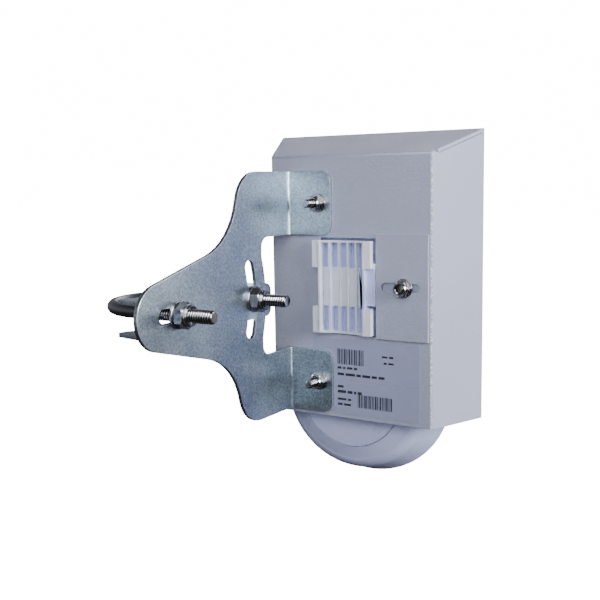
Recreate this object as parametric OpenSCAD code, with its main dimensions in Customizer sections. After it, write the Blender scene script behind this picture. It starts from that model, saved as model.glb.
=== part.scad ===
// Outdoor wireless bridge: a small radio in a flared sheet-metal shield, carried on a pole
// by a folded bracket with a U-bolt. All sizes are millimetres.
// +Z is up along the pole, the shield's open front faces -Y, and the origin is on the pole's
// axis at the height of the U-bolt.

/* [Pole clamp] */
// Diameter of the pole that the clamp is set for
pole_d = 38.5; // [36:0.5:44]
// Diameter of the U-bolt's rod
rod_d = 6; // [5:0.5:6]
// Distance between the two legs of the U-bolt
leg_pitch = 54.5; // [52:0.5:66]
// Length of the legs that stands past the bracket plate
leg_reach = 19; // [16:1:32]
// Half of the angle of the saddle's V notch
vee_half_angle = 60; // [55:1:65]
// Depth of the saddle's webs at the bottom of the V
vee_land = 2.4; // [1.5:0.1:6]
// Height of the saddle over both webs
saddle_h = 16; // [14:0.5:22]
// How far the saddle stands above the U-bolt's middle
saddle_rise = 6; // [5.5:0.5:10]
// Length of the saddle's back plate
saddle_len = 91; // [86:1:110]
// Sheet thickness of the saddle
saddle_t = 2; // [1.5:0.1:3]

/* [Bracket] */
// Sheet thickness of the bracket
bracket_t = 2; // [1.5:0.1:3]
// Distance from the pole's axis to the shield's rear face
shield_gap = 62; // [60:1:80]
// Distance from the pole's axis to the rounded tip of the bracket
tip_reach = 52; // [50:1:64]
// Radius of the bracket's rounded tip
tip_r = 14; // [12:0.5:16]
// Half of the bracket's height over both flanges
bracket_half_h = 58.7; // [56:0.5:70]
// Height of one flange
flange_h = 30.7; // [24:0.5:34]
// Width of one flange, measured from the outside of the fold
flange_w = 25; // [22:0.5:30]
// Largest tilt of the head, up or down from level
tilt_max = 15.5; // [8:0.5:17]
// Side clearance of the rod in the bracket's and the saddle's slots
slot_clear = 0.3; // [0.2:0.05:0.6]

/* [Shield] */
// Width of the shield's rear panel
shield_w = 86; // [84:1:110]
// Height of the shield's rear panel
shield_h = 127; // [122:1:160]
// Depth of the shield from its rear face to its front rim
shield_d = 31; // [28:1:40]
// How far each side leans outwards from rear to front
side_flare = 12.5; // [8:0.5:18]
// How far the top rises from rear to front
top_rise = 11; // [8:0.5:16]
// Sheet thickness of the shield
shield_t = 1.5; // [1:0.1:2]
// Offset from the bracket plate's outside face to the shield's near edge
shield_side_offset = 9.4; // [6:0.2:14]

/* [Lock plate] */
// Width of the lock plate
lock_w = 26.3; // [22:0.1:30]
// Height of the lock plate
lock_h = 49.4; // [44:0.2:60]
// Sheet thickness of the lock plate
lock_t = 1.2; // [0.8:0.1:2]
// How far the lock plate slides away to free the radio
lock_travel = 9.2; // [4:0.1:9.5]

/* [Small fasteners] */
// Diameter of the small studs
stud_d = 4; // [3:0.5:4]
// Outer diameter of the small washers
small_washer_d = 9; // [8:0.5:10]
// Thickness of the small washers
small_washer_t = 0.8; // [0.5:0.1:1.2]
// Width across flats of the small nuts
small_nut_af = 7; // [6:0.5:8]

/* [Radio] */
// Width of the radio at its waist, from which it widens to the front
radio_w = 80; // [72:1:84]
// Height of the radio at its waist
radio_h = 156; // [140:1:163]
// How far the radio's front stands out past the waist, all round
radio_flare = 5; // [3:0.5:5.5]
// Depth of the radio's housing
radio_d = 26; // [25:0.5:30]
// How far the radio's lower end stands out below the shield
radio_drop = 27.6; // [20:0.1:34]
// Offset of the radio from the middle of the shield, towards the bracket
radio_offset = 2.5; // [0:0.1:3]
// Gap between the shield's rear sheet and the radio's rear face
radio_gap = 2.5; // [2:0.1:4]
// Wall thickness of the radio's housing
radio_wall = 2; // [1.5:0.1:2.5]
// Radius of the rear shell's rounded tongue at the lower end
tongue_r = 27.5; // [24:0.5:28]
// Height of the sliding port cover
cover_h = 50; // [46:1:56]
// Gap round the port cover
cover_gap = 0.3; // [0.2:0.05:0.5]
// Diameter of the cable outlet in the port cover
outlet_d = 8; // [6:0.5:9]

/* [Rear mount of the radio] */
// Width of the ribbed mount without its wings
mount_w = 25; // [22:0.5:25]
// Height of the ribbed mount
mount_h = 44.8; // [36:0.2:48]
// Width over the wings
wing_span = 31.6; // [29:0.2:32]
// Number of upright ribs
rib_count = 6; // [4:1:7]

/* [Electronics] */
// Width of the main board
board_w = 56; // [50:1:58]
// Thickness of the main board
board_t = 1.2; // [0.8:0.1:1.6]
// Width of the antenna board
antenna_w = 60; // [52:1:60]
// Height of the antenna board
antenna_h = 76; // [60:1:76]
// Side of one square antenna patch
patch_w = 26; // [20:1:28]
// Travel of the reset button
button_travel = 0.5; // [0.3:0.1:0.6]

/* [Hidden] */
$fn = 64;
eps = 0.01;      // overlap of cutting bodies past a face
fit = 0.05;      // radial clearance of a threaded or sliding fit
seat = 0.3;      // gap between pieces that must not rub

// Pole clamp
leg_y = leg_pitch / 2;
vee_x = -pole_d / 2 / sin(vee_half_angle);            // bottom of the V
saddle_x = vee_x - vee_land;                          // pole side of the saddle's back plate
bracket_x = saddle_x - saddle_t;                      // pole side of the bracket plate
face_x = bracket_x - bracket_t;                       // shield side of the bracket plate
bend_x = pole_d / 2 - (leg_y - rod_d / 2);            // centre of the U-bolt's bend
leg_tip_x = face_x - leg_reach;
big_washer_d = 2 * rod_d;
big_washer_t = 1.6;
big_nut_af = rod_d + 4;
big_nut_hex_h = 4.6;
big_nut_collar_h = 1.6;
slot_r = rod_d / 2 + slot_clear;
saddle_slot_half = 6;                                 // half travel of a leg in the saddle's slot
saddle_web_half = 36;                                 // outer corner of a web's tip
saddle_vee_half = saddle_web_half - 3.7;              // half of the V's opening
saddle_tip_x = vee_x + saddle_vee_half / tan(vee_half_angle);
saddle_corner_r = 4;
tooth_depth = 0.9;
tooth_pitch = 4.5;
tooth_count = 5;
tooth_start = 7;
tooth_inset = 0.15;

// Bracket
fold_in_r = 1.5;
fold_out_r = fold_in_r + bracket_t;
shield_y = -shield_gap;                               // rear face of the shield
fold_x = face_x - fold_in_r;
fold_y = shield_y + fold_out_r;
flange_end_x = bracket_x - flange_w;
flange_low = bracket_half_h - flange_h;
flange_mid = bracket_half_h - flange_h / 2;
flange_r = 5;
flange_face_y = shield_y + bracket_t;
stud_x = flange_end_x + 7.1;
pivot = [leg_y, 0];
pivot_slot_len = 10.4;                                // travel of the leg in the pivot slot
slot_end_angle = tilt_max + 0.5;
inner_edge_r = leg_pitch + 11;                        // edge of the bracket beside the arc slot
inner_edge_angle = 17;
side_slope = 14.6;                                    // slope of the bracket's long edges
neck_y = -11.6;                                       // where a long edge meets the arm's side
shoulder_y = -19.9;                                   // where the arm's side meets its end
neck_r = 31;
shoulder_r = 16;
crotch_r = 5;

// Shield
shield_near_x = bracket_x + shield_side_offset;
shield_x = shield_near_x - shield_w / 2;
shield_low = -61;
shield_top = shield_low + shield_h;
panel_in_y = shield_y - shield_t;
flare_angle = atan(side_flare / shield_d);
rise_angle = atan(top_rise / shield_d);
window_w = wing_span + 2.2;
window_near_x = shield_x + wing_span / 2;
window_clear = 0.6;
relief = 1.6;                                         // side of the notch at the upper corners

// Radio
end_r = radio_w / 2;
front_r = end_r + radio_flare;
radio_x = shield_x + radio_offset;
radio_y = panel_in_y - radio_gap;                     // rear face of the housing
radio_low = shield_low - radio_drop;
low_c = radio_low + end_r;                            // centre of the lower end
high_c = radio_low + radio_h - end_r;                 // centre of the upper end
rim_r = end_r - 6.5;                                  // where the rear face turns into the rim
rim_lift = 1.6;
waist_d = 9;                                          // depth at which the rim ends
nose_d = 21;                                          // depth at which the front starts to close
nose_r = front_r - 6;
nose_drop = 1.5;
seam_d = 10.5;                                        // depth of the joint between the shells
cover_z = radio_low + cover_h;
outlet_depth = 15;                                    // depth of the cable outlet in the cover
steps = 8;

// Rear mount
mount_z = 3.2;
mount_low = mount_z - mount_h / 2;
wing_h = 13;
mount_base_t = 1.5;
rib_t = 1;
cradle_mid_y = shield_y + 1;
cradle_edge_y = shield_y + 3.8;
wing_back_y = shield_y + 3.4;
tab_h = 20;
mount_clip_x = 8;                                     // pegs that hold the mount on the rear shell
clip_d = 4;

// Lock plate
lock_near_x = radio_x - mount_w / 2 - 5;
lock_z = mount_z + 1.1;
lock_stud_x = lock_near_x - 14.3;
lock_slot_r = stud_d / 2 + 0.15;
lock_slot_spare = 5.6;                                // slot past the stud on its far side
lock_face_y = shield_y + lock_t;
stud_head_d = 7;
stud_head_t = 1;
flange_stud_tip_y = flange_face_y + 11;
lock_stud_tip_y = lock_face_y + 5.2;
nut_hex_h = 3;
nut_collar_h = 1.5;

// Labels
label_t = 0.15;
label_far_x = shield_x - 36.9;
label_w = 57;
label_top = -21.9;
label_mid = -43;
label_low = -59;
label_gap = 0.4;

// Electronics
board_d = 8;                                          // depth of the main board's rear side
board_low = low_c - 13.4;
board_top = high_c + 20;
board_front_d = board_d + board_t;
hole_x = board_w / 2 - 5;
hole_low = cover_z + 10;
hole_high = board_top - 8;
boss_d = 6;
screw_d = 2.2;
screw_head_d = 4.4;
screw_head_h = 1.4;
can_w = 40;
can_l = 34;
can_h = 3;
can_t = 0.4;
can_z = (hole_low + hole_high) / 2 + 8.1;
jack_w = 16;
jack_h = 13;
jack_l = 21;
jack_low = board_low - 2;
jack_top = jack_low + jack_l;
jack_clear = 0.6;                                     // gap round the jack where boards pass it
jack_mouth_w = 12;
jack_mouth_h = 8;
jack_mouth_l = 14;
switch_x = 19;
switch_w = 6;
switch_l = 5;
switch_h = 5;
button_r = 1.6;
led_count = 4;
led_pitch = 5;
led_z = low_c - 4;
led_x = -12;
pipe_t = 1.2;
reflector_d = 14.5;
reflector_t = 0.5;
reflector_w = 64;
reflector_low = cover_z + 3;
reflector_top = high_c + 18;
antenna_d = 18.6;
antenna_t = 0.8;
antenna_top = high_c + 14;
patch_t = 0.3;
post_d = 5;
post_x = 24;
pin_d = 1;
pin_clear = 0.2;                                      // gap between the pins and the can
patch_pitch = 1.5 * patch_w;
antenna_mid = antenna_top - antenna_h / 2;
patch_z = [max(antenna_mid - patch_pitch / 2, jack_top + jack_clear + patch_w / 2),
    antenna_mid + patch_pitch / 2];

// Points of an arc from angle a0 to a1
function arc(c, r, a0, a1, n = 12) =
    [for (i = [0:n]) let (a = a0 + (a1 - a0) * i / n) [c[0] + r * cos(a), c[1] + r * sin(a)]];

// Points that round the corner b between a and c with radius r
function corner(a, b, c, r, n = 8) =
    let (u = (a - b) / norm(a - b), v = (c - b) / norm(c - b), half = acos(u * v) / 2,
        m = (u + v) / norm(u + v), o = b + m * r / sin(half),
        p = b + u * r / tan(half), q = b + v * r / tan(half),
        a0 = atan2(p[1] - o[1], p[0] - o[0]), a1 = atan2(q[1] - o[1], q[0] - o[0]),
        turn = (a1 - a0 > 180) ? a1 - a0 - 360 : (a1 - a0 < -180) ? a1 - a0 + 360 : a1 - a0)
    arc(o, r, a0, a0 + turn, n);

// Extrudes an outline drawn in Y and Z along +X
module along_x(x, h) { translate([x, 0, 0]) rotate([90, 0, 90]) linear_extrude(h) children(); }

// Extrudes an outline drawn in X and Z along -Y, starting at y
module along_y(y, h) { translate([0, y, 0]) rotate([90, 0, 0]) linear_extrude(h) children(); }

// Rod along X from x over the length h
module rod_x(x, y, z, d, h) { translate([x, y, z]) rotate([0, 90, 0]) cylinder(d = d, h = h); }

// Rod along +Y from y over the length h
module rod_y(x, y, z, d, h) { translate([x, y, z]) rotate([-90, 0, 0]) cylinder(d = d, h = h); }

// Ring standing on the XY plane
module ring(outer, bore, h) {
    difference() {
        cylinder(d = outer, h = h);
        translate([0, 0, -1]) cylinder(d = bore, h = h + 2);
    }
}

// Lock nut standing on the XY plane, with its round collar on top
module lock_nut_shape(af, bore, hex_h, collar_h) {
    difference() {
        union() {
            cylinder(d = af / cos(30), h = hex_h, $fn = 6);
            translate([0, 0, hex_h]) cylinder(d1 = af * 0.96, d2 = af * 0.84, h = collar_h);
        }
        translate([0, 0, -1]) cylinder(d = bore, h = hex_h + collar_h + 2);
    }
}

// Stud that points along +Y, with a flat head behind the sheet at y
module stud_shape(x, y, z, tip_y) {
    rod_y(x, y - stud_head_t, z, stud_head_d, stud_head_t);
    rod_y(x, y - stud_head_t / 2, z, stud_d, tip_y - y - 0.5 + stud_head_t / 2);
    translate([x, tip_y - 0.5, z]) rotate([-90, 0, 0]) cylinder(d1 = stud_d, d2 = stud_d - 1, h = 0.5);
}

module slot_2d(a, b, r) {
    translate(a) circle(r);
    translate(b) circle(r);
    translate([min(a[0], b[0]), a[1] - r]) square([abs(b[0] - a[0]), 2 * r]);
}

module each_leg() { for (y = [-leg_y, leg_y]) translate([0, y, 0]) children(); }
module each_flange() { for (z = [-flange_mid, flange_mid]) translate([0, 0, z]) children(); }

module u_bolt() {
    color("silver") {
        translate([bend_x, 0, 0]) rotate([0, 0, -90]) rotate_extrude(angle = 180)
            translate([leg_y, 0]) circle(d = rod_d);
        each_leg() {
            rod_x(leg_tip_x + 1, 0, 0, rod_d, bend_x - leg_tip_x - 1);
            translate([leg_tip_x, 0, 0]) rotate([0, 90, 0]) cylinder(d1 = rod_d - 1.6, d2 = rod_d, h = 1);
        }
    }
}

module u_bolt_washers() {
    color("gainsboro") each_leg() translate([face_x, 0, 0]) rotate([0, -90, 0])
        ring(big_washer_d, rod_d + 2 * slot_clear, big_washer_t);
}

module u_bolt_nuts() {
    color("silver") each_leg() translate([face_x - big_washer_t, 0, 0]) rotate([0, -90, 0])
        lock_nut_shape(big_nut_af, rod_d + 2 * fit, big_nut_hex_h, big_nut_collar_h);
}

// One web of the saddle, with the toothed V that bites on the pole
module saddle_web_2d() {
    root = saddle_len / 2 - 5;
    difference() {
        polygon([[saddle_x - eps, -root], [saddle_tip_x, -saddle_web_half],
            [saddle_tip_x, -saddle_vee_half], [vee_x, 0], [saddle_tip_x, saddle_vee_half],
            [saddle_tip_x, saddle_web_half], [saddle_x - eps, root]]);
        for (side = [-1, 1], i = [1:tooth_count])
            translate([vee_x - tooth_inset + (tooth_start + i * tooth_pitch) * cos(vee_half_angle),
                side * (tooth_start + i * tooth_pitch) * sin(vee_half_angle)])
                rotate(side * vee_half_angle + 45) square(tooth_depth * sqrt(2), center = true);
    }
}

module clamp_saddle() {
    half = saddle_len / 2;
    high = saddle_rise;
    low = saddle_rise - saddle_h;
    color("lightsteelblue") {
        difference() {
            along_x(bracket_x, saddle_t) polygon(concat(
                corner([-half, high], [-half, low], [half, low], saddle_corner_r),
                corner([-half, low], [half, low], [half, high], saddle_corner_r),
                corner([half, low], [half, high], [-half, high], saddle_corner_r),
                corner([half, high], [-half, high], [-half, low], saddle_corner_r)));
            along_x(bracket_x - 1, saddle_t + 2) for (y = [-leg_y, leg_y])
                slot_2d([y - saddle_slot_half, 0], [y + saddle_slot_half, 0], slot_r);
        }
        for (z = [low, high - saddle_t]) translate([0, 0, z]) linear_extrude(saddle_t) saddle_web_2d();
    }
}

// Outline of the bracket plate from the fold to the tip, drawn in Y and Z
function bracket_half(s) =
    let (n = [cos(90 - side_slope), sin(90 - side_slope)], d = n * [tip_reach - tip_r, 0] + tip_r,
        v1 = [neck_y, (d - n[0] * neck_y) / n[1]], v2 = [shoulder_y, bracket_half_h],
        t = [tip_reach - tip_r, 0] + tip_r * n)
    [for (p = concat([t], corner(t, v1, v2, neck_r),
        corner(v1, v2, [fold_y, bracket_half_h], shoulder_r), [[fold_y, bracket_half_h]]))
        [p[0], s * p[1]]];

function bracket_inner(s) =
    let (y = pivot[0] - inner_edge_r * cos(inner_edge_angle), z = inner_edge_r * sin(inner_edge_angle),
        b = [y, flange_low])
    [for (p = concat([[fold_y, flange_low]], corner([fold_y, flange_low], b, [y, z], crotch_r), [[y, z]]))
        [p[0], s * p[1]]];

function reversed(list) = [for (i = [len(list) - 1:-1:0]) list[i]];

module bracket_outline() {
    n = 90 - side_slope;
    polygon(concat(
        arc([tip_reach - tip_r, 0], tip_r, -n, n, 24),
        bracket_half(1),
        bracket_inner(1),
        arc(pivot, inner_edge_r, 180 - inner_edge_angle, 180 + inner_edge_angle, 16),
        reversed(bracket_inner(-1)),
        reversed(bracket_half(-1))));
}

// Curved slot about the pivot leg, cut through the bracket plate
module arc_slot() {
    translate([face_x - 1, pivot[0], 0]) rotate([0, 90, 0]) {
        rotate([0, 0, -90 - slot_end_angle]) rotate_extrude(angle = 2 * slot_end_angle, $fn = 180)
            translate([leg_pitch - slot_r, 0]) square([2 * slot_r, bracket_t + 2]);
        for (s = [-1, 1]) rotate([0, 0, -90 + s * slot_end_angle]) translate([leg_pitch, 0, 0])
            cylinder(r = slot_r, h = bracket_t + 2);
    }
}

module flange_2d() {
    x = flange_end_x;
    polygon(concat([[fold_x, flange_low], [fold_x, bracket_half_h]],
        corner([fold_x, bracket_half_h], [x, bracket_half_h], [x, flange_low], flange_r),
        corner([x, bracket_half_h], [x, flange_low], [fold_x, flange_low], flange_r)));
}

module bracket() {
    color("lightsteelblue") difference() {
        union() {
            along_x(face_x, bracket_t) bracket_outline();
            for (s = [0, 1]) mirror([0, 0, s]) {
                translate([fold_x, fold_y, flange_low]) rotate([0, 0, -90])
                    rotate_extrude(angle = 90) translate([fold_in_r, 0]) square([bracket_t, flange_h]);
                along_y(flange_face_y, bracket_t) flange_2d();
            }
        }
        along_x(face_x - 1, bracket_t + 2) slot_2d(pivot, pivot + [pivot_slot_len, 0], slot_r);
        arc_slot();
        each_flange() rod_y(stud_x, shield_y - 1, 0, stud_d + 2 * slot_clear, bracket_t + 2);
    }
}

module flange_studs() {
    color("silver") each_flange() stud_shape(stud_x, panel_in_y, 0, flange_stud_tip_y);
}

module flange_washers() {
    color("gainsboro") each_flange() translate([stud_x, flange_face_y, 0]) rotate([-90, 0, 0])
        ring(small_washer_d, stud_d + 2 * slot_clear, small_washer_t);
}

module flange_nuts() {
    color("silver") each_flange() translate([stud_x, flange_face_y + small_washer_t, 0])
        rotate([-90, 0, 0]) lock_nut_shape(small_nut_af, stud_d + 2 * fit, nut_hex_h, nut_collar_h);
}

// Solid that the shield's sheet wraps: t is the distance inside the outer faces
module shield_block(t, over) {
    y0 = shield_y - t;
    y1 = shield_y - shield_d - over;
    half = shield_w / 2 - t / cos(flare_angle);
    top = shield_top - t / cos(rise_angle);
    low = shield_low - over;
    function wide(y) = half + (shield_y - y) * tan(flare_angle);
    function high(y) = top + (shield_y - y) * tan(rise_angle);
    intersection() {
        translate([0, 0, low]) linear_extrude(2 * shield_h)
            polygon([[shield_x - wide(y0), y0], [shield_x + wide(y0), y0],
                [shield_x + wide(y1), y1], [shield_x - wide(y1), y1]]);
        along_x(shield_x - shield_w, 2 * shield_w)
            polygon([[y0, low], [y0, high(y0)], [y1, high(y1)], [y1, low]]);
    }
}

module shield_shell() {
    color("lightgray") difference() {
        shield_block(0, 0);
        shield_block(shield_t, 5);
        translate([window_near_x - window_w, panel_in_y - 1, mount_low - window_clear])
            cube([window_w, shield_t + 2, mount_h + 2 * window_clear + 0.6]);
        each_flange() rod_y(stud_x, panel_in_y - 1, 0, stud_d + 2 * fit, shield_t + 2);
        rod_y(lock_stud_x, panel_in_y - 1, lock_z, stud_d + 2 * fit, shield_t + 2);
        for (s = [-1, 1]) translate([shield_x + s * (shield_w / 2 + 0.4), shield_y - shield_t - relief / 2,
            shield_top + 0.4]) cube([2 * shield_t, relief, relief], center = true);
    }
}

module lock_plate() {
    low = lock_z - lock_h / 2;
    reach = lock_travel + 0.2;
    color("lightgray") difference() {
        translate([lock_near_x - lock_w, shield_y, low]) cube([lock_w, lock_t, lock_h]);
        along_y(lock_face_y + 1, lock_t + 2)
            slot_2d([lock_stud_x - lock_slot_spare, lock_z], [lock_stud_x + reach, lock_z], lock_slot_r);
    }
}

module lock_stud() { color("silver") stud_shape(lock_stud_x, panel_in_y, lock_z, lock_stud_tip_y); }

module lock_washer() {
    color("gainsboro") translate([lock_stud_x, lock_face_y, lock_z]) rotate([-90, 0, 0])
        ring(small_washer_d, stud_d + 2 * slot_clear, small_washer_t);
}

module lock_nut() {
    color("silver") translate([lock_stud_x, lock_face_y + small_washer_t, lock_z]) rotate([-90, 0, 0])
        lock_nut_shape(small_nut_af, stud_d + 2 * fit, nut_hex_h, nut_collar_h);
}

// Thin label on the rear panel, cut back round the lower flange
module label_shape(low, high) {
    difference() {
        translate([label_far_x, shield_y, low]) cube([label_w, label_t, high - low]);
        translate([flange_end_x - label_gap, shield_y - 1, -bracket_half_h - label_gap])
            cube([flange_w, label_t + 2, flange_h + 2 * label_gap]);
    }
}

module upper_label() { color("whitesmoke") label_shape(label_mid + label_gap, label_top); }
module lower_label() { color("whitesmoke") label_shape(label_low, label_mid); }

// Half section of the radio's housing, w inside its outer face: radius against depth
function radio_section(w) = concat(
    [[0, w], [tongue_r - w / 4, w]],
    [for (i = [0:steps]) let (a = 90 * i / steps)
        [rim_r + (end_r - rim_r - w) * sin(a), waist_d - (waist_d - rim_lift - w) * cos(a)]],
    [for (i = [0:steps]) let (a = 90 * i / steps)
        [nose_r + (front_r - nose_r - w) * cos(a), nose_d + (radio_d - nose_drop - nose_d - w) * sin(a)]],
    [[nose_r / 2, radio_d - nose_drop / 4 - w], [0, radio_d - w]]);

// Turns a body drawn in X, Z and depth into place behind the shield's front
module in_radio() { translate([radio_x, radio_y, 0]) rotate([90, 0, 0]) children(); }

module radio_block(w) {
    section = radio_section(w);
    in_radio() {
        for (z = [low_c, high_c]) translate([0, z, 0]) rotate_extrude($fn = 96) polygon(section);
        translate([0, high_c, 0]) rotate([90, 0, 0]) linear_extrude(high_c - low_c)
            polygon(concat(section, [for (p = reversed(section)) if (p[0] > 0) [-p[0], p[1]]]));
    }
}

module radio_skin() {
    difference() {
        radio_block(0);
        radio_block(radio_wall);
    }
}

// Column of the rear shell's tongue, grown by g, from the rear face to the depth d
module tongue(g, d) {
    in_radio() translate([0, 0, -1]) linear_extrude(d + 1) {
        translate([0, low_c]) circle(tongue_r + g);
        translate([-tongue_r - g, low_c]) square([2 * (tongue_r + g), cover_z - low_c + 1]);
    }
}

module above_cover(y0, y1) {
    translate([radio_x - radio_w, y1, cover_z]) cube([2 * radio_w, y0 - y1, radio_h]);
}

module radio_rear_shell() {
    seam_y = radio_y - seam_d;
    color("whitesmoke") {
        difference() {
            intersection() {
                radio_skin();
                union() {
                    above_cover(radio_y + 1, seam_y);
                    tongue(0, radio_wall);
                }
            }
            led_window(0);
            in_radio() for (x = [-mount_clip_x, mount_clip_x], z = [mount_z]) translate([x, z, -1])
                cylinder(d = clip_d + 2 * fit, h = radio_wall + 2);
        }
        in_radio() for (x = [-hole_x, hole_x], z = [hole_low, hole_high])
            translate([x, z, radio_wall - eps]) ring(boss_d, screw_d + 2 * fit, board_d - radio_wall + eps);
    }
}

module radio_front_shell() {
    color("ghostwhite") intersection() {
        radio_skin();
        above_cover(radio_y - seam_d, radio_y - radio_d - 1);
    }
}

module port_cover() {
    color("whitesmoke") difference() {
        intersection() {
            radio_skin();
            translate([radio_x - radio_w, radio_y - radio_d - 1, radio_low - radio_flare - 1])
                cube([2 * radio_w, radio_d + 2, cover_h + radio_flare + 1 - cover_gap]);
        }
        tongue(cover_gap, seam_d);
        in_radio() translate([0, radio_low - radio_flare - 1, outlet_depth]) rotate([-90, 0, 0])
            cylinder(d = outlet_d, h = 8 + radio_flare);
    }
}

// Depth to which a rib of the mount stands out at the offset u from its middle
function cradle_y(u) = cradle_mid_y + (cradle_edge_y - cradle_mid_y) * pow(u / (mount_w / 2), 2);

module rear_mount() {
    pitch = (mount_w - rib_t) / (rib_count - 1);
    floor_y = radio_y + mount_base_t;
    band_y = shield_y - 0.3;
    half = mount_w / 2;
    color("white") {
        // Floor, raised middle band and the two end walls
        translate([radio_x - half, radio_y, mount_low]) cube([mount_w, mount_base_t, mount_h]);
        translate([radio_x - half, radio_y, mount_low + wing_h]) cube([mount_w, band_y - radio_y,
            mount_h - 2 * wing_h]);
        for (z = [mount_low, mount_low + mount_h - rib_t]) translate([radio_x, 0, z]) linear_extrude(rib_t)
            polygon(concat([[half, radio_y], [-half, radio_y]],
                [for (i = [-6:6]) [half * i / 6, cradle_y(half * i / 6)]]));
        for (i = [0:rib_count - 1]) let (u = -half + rib_t / 2 + i * pitch)
            translate([radio_x + u - rib_t / 2, radio_y, mount_low])
                cube([rib_t, cradle_y(u) - radio_y, mount_h]);
        // Wings that hook over the edges of the window
        for (s = [-1, 1], z = [mount_low, mount_low + mount_h - wing_h])
            translate([radio_x + (s > 0 ? half - rib_t : -wing_span / 2), shield_y + seat, z])
                cube([wing_span / 2 - half + rib_t, wing_back_y - shield_y - seat, wing_h]);
        // Tab that bears on the lock plate's edge
        translate([lock_near_x + seat, radio_y, mount_z + 1.8 - tab_h / 2])
            cube([radio_x - half - lock_near_x - seat + rib_t, lock_face_y - radio_y, tab_h]);
        in_radio() for (x = [-mount_clip_x, mount_clip_x]) translate([x, mount_z, -eps])
            cylinder(d = clip_d, h = radio_wall + 1.5);
    }
}

module main_board() {
    color("darkgreen") difference() {
        in_radio() translate([-board_w / 2, board_low, board_d])
            cube([board_w, board_top - board_low, board_t]);
        in_radio() for (x = [-hole_x, hole_x], z = [hole_low, hole_high])
            translate([x, z, board_d - 1]) cylinder(d = screw_d + 0.4, h = board_t + 2);
    }
}

module board_screws() {
    color("silver") in_radio() for (x = [-hole_x, hole_x], z = [hole_low, hole_high])
        translate([x, z, 0]) {
            translate([0, 0, board_front_d]) cylinder(d = screw_head_d, h = screw_head_h);
            translate([0, 0, radio_wall + 1]) cylinder(d = screw_d, h = board_front_d - radio_wall - 1);
        }
}

module board_chips() {
    // Processor, radio chip and memory under the can, and the power stage outside it
    chips = [[-9, can_z - 5, 14, 14], [9, can_z - 6, 9, 9], [8, can_z + 8, 10, 8]];
    color("dimgray") in_radio() {
        for (c = chips) translate([c[0] - c[2] / 2, c[1] - c[3] / 2, board_front_d])
            cube([c[2], c[3], 1.2]);
        translate([-20, cover_z - 2, board_front_d]) cube([12, 14, 4]);
        for (x = [2, 12]) translate([x, cover_z + 3, board_front_d]) cylinder(d = 6.3, h = 4.2);
    }
}

module shield_can() {
    color("gainsboro") in_radio() translate([-can_w / 2, can_z - can_l / 2, board_front_d]) difference() {
        cube([can_w, can_l, can_h]);
        translate([can_t, can_t, -1]) cube([can_w - 2 * can_t, can_l - 2 * can_t, can_h + 1 - can_t]);
    }
}

module ethernet_jack() {
    color("dimgray") in_radio() difference() {
        translate([-jack_w / 2, jack_low, board_front_d]) cube([jack_w, jack_l, jack_h]);
        translate([-jack_mouth_w / 2, jack_low - 1, board_front_d + 2.5])
            cube([jack_mouth_w, jack_mouth_l + 1, jack_mouth_h]);
    }
}

module reset_switch() {
    color("black") in_radio() difference() {
        translate([switch_x - switch_w / 2, board_low + 1, board_front_d])
            cube([switch_w, switch_l, switch_h]);
        translate([switch_x, board_low, board_front_d + switch_h / 2]) rotate([-90, 0, 0])
            cylinder(r = button_r + fit, h = 4);
    }
}

module reset_button() {
    depth = 3 - button_travel - 0.2;
    color("red") in_radio() translate([switch_x, board_low + 1, board_front_d + switch_h / 2])
        rotate([-90, 0, 0]) {
            translate([0, 0, -2.5]) cylinder(r = button_r, h = 2.5 + depth);
            translate([0, 0, -2.5]) cylinder(r = button_r + 0.5, h = 1);
        }
}

module led_window(g) {
    in_radio() translate([led_x - led_pitch * led_count / 2 - g, led_z - 1.5 - g, -1])
        cube([led_pitch * led_count + 2 * g, 3 + 2 * g, radio_wall + 2]);
}

module status_leds() {
    color("honeydew") in_radio() for (i = [0:led_count - 1])
        translate([led_x + (i - (led_count - 1) / 2) * led_pitch - 0.8, led_z - 0.6, board_d - 0.8])
            cube([1.6, 1.2, 0.8]);
}

module light_pipe() {
    g = 0.1;
    color("azure") in_radio() {
        translate([led_x - led_pitch * led_count / 2 + g, led_z - 1.5 + g, 0])
            cube([led_pitch * led_count - 2 * g, 3 - 2 * g, radio_wall]);
        translate([led_x - led_pitch * led_count / 2 - 1, led_z - 2.5, radio_wall])
            cube([led_pitch * led_count + 2, 5, pipe_t]);
        for (i = [0:led_count - 1])
            translate([led_x + (i - (led_count - 1) / 2) * led_pitch, led_z, radio_wall])
                cylinder(d = 2, h = board_d - 0.8 - seat - radio_wall);
    }
}

module post_grid(d0, d1, d) {
    in_radio() for (x = [-post_x, post_x], z = [reflector_low + 22, antenna_top - 8])
        translate([x, z, d0]) cylinder(d = d, h = d1 - d0);
}

module reflector_posts() { color("ivory") post_grid(board_front_d, reflector_d, post_d); }

module reflector() {
    color("silver") in_radio() difference() {
        translate([-reflector_w / 2, reflector_low, reflector_d])
            cube([reflector_w, reflector_top - reflector_low, reflector_t]);
        for (z = patch_z) translate([0, z, reflector_d - 1]) cylinder(d = 3 * pin_d, h = reflector_t + 2);
    }
}

module antenna_posts() { color("ivory") post_grid(reflector_d + reflector_t, antenna_d, post_d); }

module antenna_board() {
    color("seagreen") in_radio() difference() {
        translate([-antenna_w / 2, antenna_top - antenna_h, antenna_d])
            cube([antenna_w, antenna_h, antenna_t]);
        translate([-jack_w / 2 - jack_clear, jack_low - antenna_h, antenna_d - 1])
            cube([jack_w + 2 * jack_clear, jack_l + jack_clear + antenna_h, antenna_t + 2]);
        for (z = patch_z) translate([0, z, antenna_d - 1]) cylinder(d = pin_d + 2 * fit, h = antenna_t + 2);
    }
}

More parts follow.
